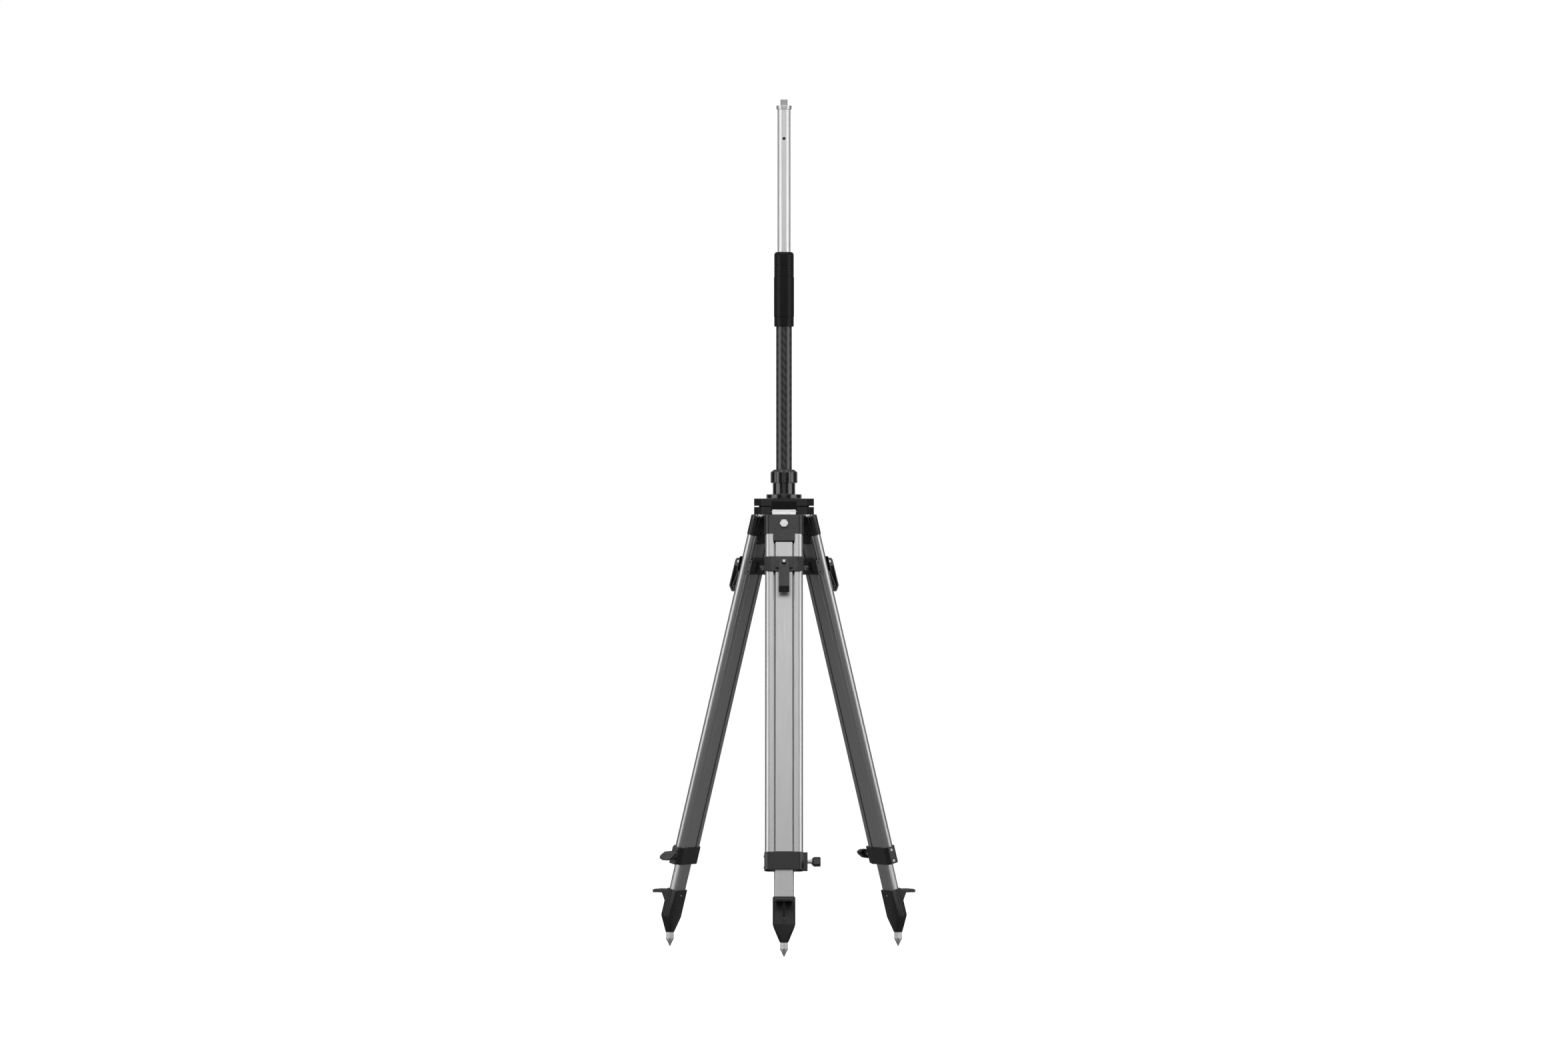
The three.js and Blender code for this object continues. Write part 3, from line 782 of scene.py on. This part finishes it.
def rail_outline(side, grow=0.0, corner=1.2):
    """D-shaped section of a rail: round outside, flat towards the inner leg."""
    radius, inside = RAIL_RADIUS + grow, RAIL_INSIDE - grow
    base = [(radius, inside + 3), (-radius, inside + 3), (-radius, inside), (radius, inside)]
    flat = rounded(base, [0, 0, corner, corner])[2:]
    arc = circle(radius, (0.0, RAIL_CENTRE), 28, 0.0, math.pi)
    outline = flat + arc
    return outline if side > 0 else [(-x, -y) for x, y in outline]


for side, name in ((-1, "rail_left"), (1, "rail_right")):
    rail = prism(rail_outline(side), -770.0, -6.3)
    tools = [prism(rail_outline(side, -1.8, 0.5), -772.0, -4.0)]
    lip = block((-1.5, 1.5), sorted((side * 20.95, side * 22.2)), (-733.0, -60.0))
    joined(rail, lip)
    if side > 0:
        tools.append(prism(circle(SCREW_HOLE, (0.0, SCREW_Z)), 15, 45, "y"))
    on_each_leg(shaded(cut(rail, *tools)), name, "leg", RAIL)


CAP_BOTTOM, BOLT_Z = -41.7, -20.8
cap_end = circle(12.0, (0.0, 29.7), 24, math.radians(4), math.radians(172))
cap_half = [(12.5, 30.4), (12.4, 30.9), (12.0, 30.9)] + cap_end
cap_half += [(-12.0, 30.9), (-12.4, 30.9), (-12.5, 30.4)]
cap = prism(mirrored(cap_half), CAP_BOTTOM, 0.0)
edged(cap, 0.7, 3, 50)
pad_half, pad_top = 17.35, CAP_BOTTOM + 11.8
strips = [
    block(x, y, (CAP_BOTTOM, pad_top))
    for x in ((11.3, 20.0), (-20.0, -11.3))
    for y in ((pad_half, pad_half + 2.5), (-pad_half - 2.5, -pad_half))
]
tongue = rounded(rectangle((-23.35, 23.35), (-58.0, -38.0)), [1.2, 1.2, 0, 0])
tongues = [edged(prism(tongue, *x, "x"), 0.25, 2) for x in ((11.35, 13.0), (-13.0, -11.35))]
joined(cap, *tongues)
cut(
    cap,
    *strips,
    prism(rail_outline(1, 0.3), CAP_BOTTOM - 1, -6.0),
    prism(rail_outline(-1, 0.3), CAP_BOTTOM - 1, -6.0),
    block((-10.3, 2.3), (-20.3, 20.3), (-32.3, 1.0)),
    prism(circle(BOLT_HOLE, (0.0, BOLT_Z)), -20, 20, "x"),
    block((-0.8, 0.8), (36.7, 60.0), (-50.0, -7.0)),
    block((-0.8, 0.8), (-60.0, -36.7), (-50.0, -7.0)),
)
on_each_leg(shaded(cap), "cap", "leg", LEG_CASTING)

hinge_centre = (hinge_in_leg.x, hinge_in_leg.z)
hinge = edged(prism(circle(HINGE_BARREL, hinge_centre, 56), -25.0, 25.0, "y"), 0.6, 3, 50)
web = block((-10.0, 2.0), (-25.0, 25.0), (0.3, 9.0))
joined(hinge, edged(web, 0.6), block((-10.0, 2.0), (-20.0, 20.0), (-32.0, 8.0)))
cut(
    hinge,
    prism(circle(PIN_HOLE, hinge_centre), -30, 30, "y"),
    prism(circle(BOLT_HOLE, (0.0, BOLT_Z)), -20, 20, "x"),
)
on_each_leg(shaded(hinge), "hinge_block", "leg", MACHINED)


def hex_head(across, height):
    """Hexagon head standing on z = 0 with its top corners turned off at 30 degrees."""
    corner, crown = across / math.sqrt(3), across / 2 * 0.95
    shoulder = height - (corner - crown) * math.tan(math.radians(30)) - 0.35
    profile = [(0.0, 0.0), (corner + 1, 0.0), (corner + 1, shoulder), (crown, height), (0.0, height)]
    return common(prism(circle(corner, count=6, start=math.pi / 6), 0.0, height), lathe(profile))


def bolt(shank, start, end, head_from, across, height, washer=0.0):
    """Bolt along X. Its head stands out from head_from, towards +X when height is positive."""
    way = 1 if height > 0 else -1
    profile = [(0.0, start), (shank - 0.5, start), (shank, start + way * 0.5), (shank, end), (0.0, end)]
    shaft = along(lathe(profile, 48), "x")
    head = along(hex_head(across, abs(height)), "x")
    if way < 0:
        head.data.transform(Matrix.Rotation(math.pi, 4, "Z"))
    head.data.transform(Matrix.Translation((head_from * MM, 0, 0)))
    pieces = [head]
    if washer:
        low, high = sorted((head_from - way * 0.4, head_from + way * 0.9))
        pieces.append(along(cylinder(washer, low, high, 64), "x"))
    return joined(shaft, *pieces)


cap_bolt = bolt(4.9, -12.4, 14.0, 12.8, 16.0, 6.4, washer=8.0)
nut = along(hex_head(14.0, 3.0), "x")
nut.data.transform(Matrix.Rotation(math.pi, 4, "Z"))
nut.data.transform(Matrix.Translation((-12.7 * MM, 0, 0)))
joined(cap_bolt, nut)
cap_bolt.data.transform(Matrix.Translation((0, 0, BOLT_Z * MM)))
on_each_leg(shaded(edged(cap_bolt, 0.2, 2, 25), 30), "cap_bolt", "leg", STEEL)

pin_half = [(PIN_RADIUS, PIN_HALF - 0.4), (PIN_RADIUS - 0.4, PIN_HALF), (0.0, PIN_HALF)]
for k in LEGS:
    pin = along(lathe(symmetric(pin_half), 48), "x")
    pin.data.transform(Matrix.Translation(Vector((0.0, -HINGE_REACH, HINGE_Z)) * MM))
    pin.data.transform(leg_turn(k))
    shown(shaded(pin), f"hinge_pin_{k}_fine", "head", [f"hinge_pin_{k}"], STEEL)

clamp_outline = [
    (-13.0, -34.5),
    (-8.0, -41.5),
    (8.0, -41.5),
    (14.0, -34.5),
    (14.0, -20.5),
    (17.0, -18.5),
    (17.0, 18.5),
    (14.0, 20.5),
    (14.0, 34.5),
    (7.2, 41.5),
    (7.2, 49.5),
    (-8.0, 49.5),
    (-8.0, 41.5),
    (-13.0, 34.5),
]
clamp_corners = [8.0, 5.0, 5.0, 8.0, 0.6, 1.5, 1.5, 0.6, 8.0, 0.5, 0.8, 0.8, 0.5, 8.0]
CLAMP_BOTTOM, CLAMP_TOP = -771.5, -734.0
clamp = prism(rounded(clamp_outline, clamp_corners, 8), CLAMP_BOTTOM, CLAMP_TOP)
edged(clamp, 0.6, 3, 50)
passage = circle(11.3, (0.0, RAIL_CENTRE), 28, 0.0, math.pi)
cut(
    clamp,
    prism(mirrored(passage), CLAMP_BOTTOM - 1.5, CLAMP_TOP + 2.0),
    prism(circle(SCREW_HOLE, (0.0, SCREW_Z)), 30, 60, "y"),
)
on_each_leg(shaded(clamp), "lower_clamp", "leg", LEG_CASTING)

end_screws = []
for z in (-741.0, -765.0):
    screw = along(cap_screw(2.9, 1.6, 2.6, 1.2), "y")
    screw.data.transform(Matrix.Rotation(math.pi, 4, "Z"))
    end_screws.append(moved(screw, Matrix.Translation(Vector((0.0, -41.3, z)) * MM)))
on_each_leg(shaded(gathered(end_screws)), "clamp_screw", "leg", STEEL, stands_for=False)

# Wing screw: a steel stem, and a black knob with two swept blades.
blade = [(18.5, -10.0), (17.0, -3.0), (9.0, 7.0), (0.0, 10.5), (-10.0, 12.4)]
wing_outline = rounded(mirrored(blade), [2.8, 6.0, 9.0, 9.0, 2.8] * 2, 6)
knob = prism([(x, z + SCREW_Z) for x, z in wing_outline], 61.5, 77.0, "y")
edged(knob, 2.3, 5, 50)
hub_profile = [(0.0, 59.3), (7.4, 59.3), (8.5, 60.4), (8.5, 70.0), (0.0, 70.0)]
screw_place = (0.0, 0.0, SCREW_Z)
joined(knob, along(lathe(hub_profile, 64), "y", screw_place))
cut(knob, along(cylinder(4.1, 50.0, 66.0), "y", screw_place))
on_each_leg(shaded(knob), "wing_screw", "wing", GLOSS)
stem_profile = [(0.0, 21.4), (3.0, 21.4), (3.9, 22.4), (3.9, 56.5)]
stem_profile += [(5.6, 57.3), (5.6, 59.2), (3.9, 59.2), (3.9, 65.8), (0.0, 65.8)]
stem = along(lathe(stem_profile, 48), "y", screw_place)
on_each_leg(shaded(stem), "wing_stem", "wing", STEEL, stands_for=False)


# ---- sliding lower leg --------------------------------------------------------------------------


def inner_outline(grow=0.0, steps=20):
    """Section of the inner leg: flat faces with rounded ends."""
    thick, side, flat = 10.2 + grow, 4.6 + grow, 16.0
    right = [
        (thick * math.cos(math.pi * i / steps), flat + side * math.sin(math.pi * i / steps))
        for i in range(steps + 1)
    ]
    return mirrored(right)


inner = prism(inner_outline(), -871.5, -60.0)
cut(inner, prism(inner_outline(-1.8), -873.0, -58.0), prism(circle(3.7, (0.0, PIVOT_Z)), -20, 20, "x"))
on_each_leg(shaded(inner), "inner_leg", "shin", RAIL)

SLIDE_TOP, SLIDE_BOTTOM = -92.6, -124.5
face = [(11.3, -39.8), (13.0, -39.8), (15.5, -27.4), (15.5, 27.4), (13.0, 39.8), (11.3, 39.8)]
slider = edged(prism(face, SLIDE_BOTTOM, SLIDE_TOP), 0.5, 3, 8)
pad_outline = rounded(rectangle((-18.7, 18.7), (PIVOT_Z - 10.7, PIVOT_Z + 10.7)), 1.6)
pad = prism(pad_outline, 14.0, 21.6, "x")
joined(slider, edged(pad, 0.7, 3, 50))
cut(slider, prism(circle(SLIDER_HOLE, (0.0, PIVOT_Z)), 5, 30, "x"))
on_each_leg(shaded(slider), "slider_front", "shin", LEG_CASTING)

bracket_outline = [
    (-11.3, -40.3),
    (-11.3, 40.3),
    (-6.5, 40.3),
    (-6.5, 41.5),
    (-21.0, 41.5),
    (-21.0, -41.5),
    (-6.5, -41.5),
    (-6.5, -40.3),
]
bracket_corners = [0.3, 0.3, 0.2, 0.2, 0.9, 0.9, 0.2, 0.2]
bracket = prism(rounded(bracket_outline, bracket_corners, 3), SLIDE_BOTTOM, SLIDE_TOP)
edged(bracket, 0.4, 2, 50)
recesses = [
    edged(block((-23.0, -18.6), y, (SLIDE_BOTTOM + 4, SLIDE_TOP - 4)), 1.0, 3)
    for y in ((10.5, 37.0), (-37.0, -10.5))
]
cut(bracket, *recesses)
holes = [
    prism(circle(1.65, (-16.0, PIVOT_Z + up), 24), *reach, "y")
    for reach in ((37.0, 46.0), (-46.0, -37.0))
    for up in (-10.5, 10.5)
]
cut(bracket, prism(circle(SLIDER_HOLE, (0.0, PIVOT_Z)), -30, 0, "x"), *holes)
on_each_leg(shaded(bracket), "slider_back", "shin", LEG_CASTING)

slider_bolt = bolt(3.2, 36.0, -22.0, -21.3, 10.4, -5.2)
slider_bolt.data.transform(Matrix.Translation((0, 0, PIVOT_Z * MM)))
on_each_leg(shaded(slider_bolt, 30), "slider_bolt", "shin", STEEL)

pivot_half = [(5.0, 3.3), (4.6, 3.7), (3.2, 3.7), (3.2, 10.2), (2.8, 10.6), (0.0, 10.6)]
pivot = lathe(symmetric(pivot_half), 64)
along(pivot, "y", (PIVOT_X, 0.0, PIVOT_Z))
cut(pivot, prism(circle(3.4, (0.0, PIVOT_Z), 32), 20, 40, "x"))
on_each_leg(shaded(pivot), "pivot_nut", "shin", STEEL)

# Cam lever: a strip bent into a long loop, with two ears round the pivot nut.
loop_out = circle(8.0, (PIVOT_X, PIVOT_Z), 28, 0.0, math.pi)
strip_outside = [
    (22.0, -112.0),
    (22.9, -128.6),
    (29.6, -160.0),
    (24.7, -167.0),
    (25.5, -174.0),
    (29.5, -175.0),
    (38.5, -164.0),
    (38.0, -112.0),
]
loop_out += rounded(strip_outside, [0.0, 6.0, 3.0, 2.0, 2.5, 3.0, 3.0, 0.0], 6)
strip_inside = [
    (35.5, -119.0),
    (25.6, -119.0),
    (25.0, -128.6),
    (31.7, -160.0),
    (26.8, -167.3),
    (27.0, -171.0),
    (28.5, -171.5),
    (35.5, -163.0),
]
loop_in = rounded(strip_inside, [1.0, 1.0, 5.0, 2.0, 1.5, 0.8, 1.0, 2.0], 6)
lever = prism(loop_out, -11.25, 11.25, "y")
cut(
    lever,
    prism(loop_in, -20, 20, "y"),
    block((10.0, 50.0), (-4.0, 4.0), (PIVOT_Z - 7.8, PIVOT_Z + 20)),
    prism(circle(3.5, (PIVOT_X, PIVOT_Z)), -20, 20, "y"),
)
on_each_leg(shaded(edged(lever, 0.45, 3, 50)), "lever", "lever", STRIP)


# ---- foot ---------------------------------------------------------------------------------------

FOOT_TOP, FOOT_SHOULDER = -830.0, -890.5
SPIKE_REACH, SPIKE_TOP, SPIKE_ACROSS = 283.3, 30.0, 16.9


def upright(made):
    """Brings a piece made in the leg's upright plane (X out from the mast) into the leg's frame."""
    made.data.transform(Matrix.Rotation(-math.pi / 2, 4, "Z"))
    made.data.transform(leg_frames[1].inverted())
    return made


def hull(points):
    """Convex hull of a set of points."""
    bm = bmesh.new()
    verts = [bm.verts.new(p) for p in points]
    made = bmesh.ops.convex_hull(bm, input=verts)
    loose = [g for g in made["geom_interior"] + made["geom_unused"] if isinstance(g, bmesh.types.BMVert)]
    bmesh.ops.delete(bm, geom=list(set(loose)), context="VERTS")
    bmesh.ops.dissolve_limit(bm, angle_limit=math.radians(1.0), verts=bm.verts, edges=bm.edges)
    return as_object(bm)


shell_outline = rounded(rectangle((-12.5, 12.5), (-23.0, 23.0)), [2.5, 1.2, 1.2, 2.5], 4)
shell_points = [Vector((x, y, z)) * MM for x, y in shell_outline for z in (FOOT_TOP, FOOT_SHOULDER)]
mouth = cylinder(9.25, SPIKE_TOP + 0.3, SPIKE_TOP + 2.0)
mouth.data.transform(Matrix.Translation((SPIKE_REACH * MM, 0, 0)))
upright(mouth)
shell_points += [v.co.copy() for v in mouth.data.vertices]
bpy.data.objects.remove(mouth)
foot = edged(hull(shell_points), 0.6, 3, 30)

# Two shallow pockets with sloped flanks leave a frame and a rib between them.
pocket = [(11.1, 3.4), (13.5, -0.7), (13.5, 22.2), (11.1, 20.4)]
for side in (-1, 1):
    cut(foot, prism([(x, side * y) for x, y in pocket], FOOT_SHOULDER + 1.5, -841.0))
side_ridges = [
    edged(block((x, x + 2.0), y, (FOOT_SHOULDER + 1.0, FOOT_TOP - 1.0)), 0.7, 3)
    for x in (5.5, -0.5)
    for y in ((21.4, 24.0), (-24.0, -21.4))
]
TREAD_LOW, TREAD_HIGH = 118.0, 122.0
tread_outline = rounded(rectangle((274.0, 317.0), (-18.0, 18.0)), [0, 3.0, 3.0, 0])
plank = prism(tread_outline, TREAD_LOW, TREAD_HIGH)
edged(plank, 0.6, 2, 50)
teeth = []
for i in range(9):
    x = 312.0 - 4.0 * i
    low, high = TREAD_HIGH - 0.6, TREAD_HIGH + 1.3
    tooth = [(x - 1.5, low), (x - 0.3, high), (x + 0.3, high), (x + 1.5, low)]
    teeth.append(prism(tooth, -17.2, 17.2, "y"))
lips = [block((278.0, 316.0), y, (TREAD_LOW - 2.4, TREAD_LOW + 1.0)) for y in ((-17.6, -15.6), (15.6, 17.6))]
gusset = prism([(276.0, TREAD_LOW + 1), (283.0, 84.0), (289.6, 84.0), (304.4, TREAD_LOW + 1)], -2.4, 2.4, "y")
step = joined(plank, edged(gusset, 0.4, 2), *lips, *teeth)
upright(step)
joined(foot, step, *side_ridges)
shank = cylinder(6.3, 0.0, 70.0)
shank.data.transform(Matrix.Translation((SPIKE_REACH * MM, 0, 0)))
cut(foot, prism(inner_outline(0.3), -871.8, FOOT_TOP + 1), upright(shank))
on_each_leg(shaded(foot), "foot", "shin", LEG_CASTING)

corner = SPIKE_ACROSS / math.sqrt(3)
spike = prism(hexagon(SPIKE_ACROSS), -1.0, SPIKE_TOP)
point_profile = [(0.0, 0.0), (0.6, 0.0), (0.95, 0.5), (corner, 18.8), (corner + 1, 19.8)]
point_profile += [(corner + 1, 29.2), (corner - 0.2, SPIKE_TOP), (0.0, SPIKE_TOP)]
common(spike, lathe(point_profile, 96))
edged(spike, 0.25, 2, 40)
joined(spike, cylinder(6.0, 29.0, 64.0))
spike.data.transform(Matrix.Translation((SPIKE_REACH * MM, 0, 0)))
on_each_leg(shaded(upright(spike), 28), "spike", "shin", STEEL)

rivets = []
for z in (-842.0, -868.0):
    dome = lathe([(0.0, -0.3), (1.9, -0.3), (1.8, 0.3), (1.2, 0.85), (0.5, 1.05), (0.0, 1.1)], 32)
    dome.data.transform(Matrix.Rotation(-math.pi / 2, 4, "Y"))
    rivets.append(moved(dome, Matrix.Translation(Vector((-12.5, 0.0, z)) * MM)))
on_each_leg(shaded(gathered(rivets)), "foot_rivet", "shin", STEEL, stands_for=False)

# The bush inside the pole is never seen, but it gets its own finish too.
bush_profile = [(0.01, 1190.3), (14.5, 1190.3), (14.5, 1199.7)]
bush_profile += [(12.0, 1199.7), (12.0, 1225.0), (0.01, 1225.0)]
bush = ring(bush_profile, [0, 0.5, 0.4, 0.2, 0.4, 0])
shown(shaded(bush), "rod_bush_fine", "extension", ["rod_bush"], POLYMER)

# ---- floor, light and camera --------------------------------------------------------------------


def stage_material():
    """Pale studio floor: nearly white to the camera, and dim to every other ray."""
    made = bpy.data.materials.new("studio_floor")
    made.use_nodes = True
    tree = made.node_tree
    pale = tree.nodes["Principled BSDF"]
    pale.inputs["Roughness"].default_value = 0.9
    pale.inputs["Specular IOR Level"].default_value = 0.1
    pale.inputs["Base Color"].default_value = (0.85, 0.85, 0.85, 1.0)
    pale.inputs["Emission Color"].default_value = (1.0, 1.0, 1.0, 1.0)
    pale.inputs["Emission Strength"].default_value = 0.85
    dim = tree.nodes.new("ShaderNodeEmission")
    dim.inputs["Strength"].default_value = 0.17
    ray = tree.nodes.new("ShaderNodeLightPath")
    seen = tree.nodes.new("ShaderNodeMixShader")
    tree.links.new(ray.outputs["Is Camera Ray"], seen.inputs[0])
    tree.links.new(dim.outputs[0], seen.inputs[1])
    tree.links.new(pale.outputs[0], seen.inputs[2])
    tree.links.new(seen.outputs[0], tree.nodes["Material Output"].inputs["Surface"])
    return made


FLOOR_RADIUS = 3.4
floor = prism(circle(FLOOR_RADIUS / MM, count=96), -2.5, -0.5)
floor.name = floor.data.name = "studio_floor"
floor.data.materials.append(stage_material())

SKY_LOW, SKY_HIGH = 0.06, 0.5
world = bpy.data.worlds.new("studio")
bpy.context.scene.world = world
world.use_nodes = True
sky = world.node_tree
background = sky.nodes["Background"]
ray = sky.nodes.new("ShaderNodeLightPath")
direction = sky.nodes.new("ShaderNodeTexCoord")
height = sky.nodes.new("ShaderNodeSeparateXYZ")
sky.links.new(direction.outputs["Generated"], height.inputs[0])
gradient = sky.nodes.new("ShaderNodeMapRange")
gradient.inputs["From Min"].default_value = 0.0
gradient.inputs["From Max"].default_value = 1.0
gradient.inputs["To Min"].default_value = SKY_LOW
gradient.inputs["To Max"].default_value = SKY_HIGH
sky.links.new(height.outputs["Z"], gradient.inputs["Value"])
strength = sky.nodes.new("ShaderNodeMix")
sky.links.new(ray.outputs["Is Camera Ray"], strength.inputs[0])
sky.links.new(gradient.outputs["Result"], strength.inputs[2])
strength.inputs[3].default_value = 1.0
sky.links.new(strength.outputs[0], background.inputs["Strength"])
background.inputs["Color"].default_value = (1.0, 1.0, 1.0, 1.0)


def softbox(name, azimuth, distance, centre_z, width, height_m, radiance, target_z=0.9):
    """Area light, given in metres and by its radiance. Azimuth 0 is the camera's side."""
    data = bpy.data.lights.new(name, "AREA")
    data.shape = "RECTANGLE"
    data.size, data.size_y = width, height_m
    data.energy = radiance * math.pi * width * height_m
    lamp = bpy.data.objects.new(name, data)
    lamp.visible_camera = False
    angle = math.radians(azimuth)
    lamp.location = (math.sin(angle) * distance, -math.cos(angle) * distance, centre_z)
    aim = Vector((0, 0, target_z)) - lamp.location
    lamp.rotation_euler = aim.to_track_quat("-Z", "Y").to_euler()
    bpy.context.scene.collection.objects.link(lamp)


for side in (-1, 1):
    softbox(f"strip_{side}", side * 67, 3.0, 1.05, 2.3, 3.2, 1.9, 1.05)
    softbox(f"rear_{side}", side * 145, 4.0, 1.6, 1.2, 2.4, 0.45, 1.0)
softbox("overhead_front", 0, 3.2, 2.8, 3.2, 1.7, 1.3)
softbox("front_fill", 0, 5.0, 1.0, 3.0, 2.4, 0.4, 0.9)
softbox("top", 0, 0.4, 3.6, 2.2, 2.2, 0.9, 0.9)

CAMERA_DISTANCE, CAMERA_HEIGHT, CAMERA_LENS = 16.96, 0.911, 182.6
camera_data = bpy.data.cameras.new("camera")
camera_data.lens = CAMERA_LENS
camera_data.sensor_width = 36.0
camera_data.clip_end = 100.0
camera = bpy.data.objects.new("camera", camera_data)
camera.location = (0.0, -CAMERA_DISTANCE, CAMERA_HEIGHT)
camera.rotation_euler = (math.pi / 2, 0.0, 0.0)
bpy.context.scene.collection.objects.link(camera)
bpy.context.scene.camera = camera
bpy.context.scene.view_settings.view_transform = "Standard"
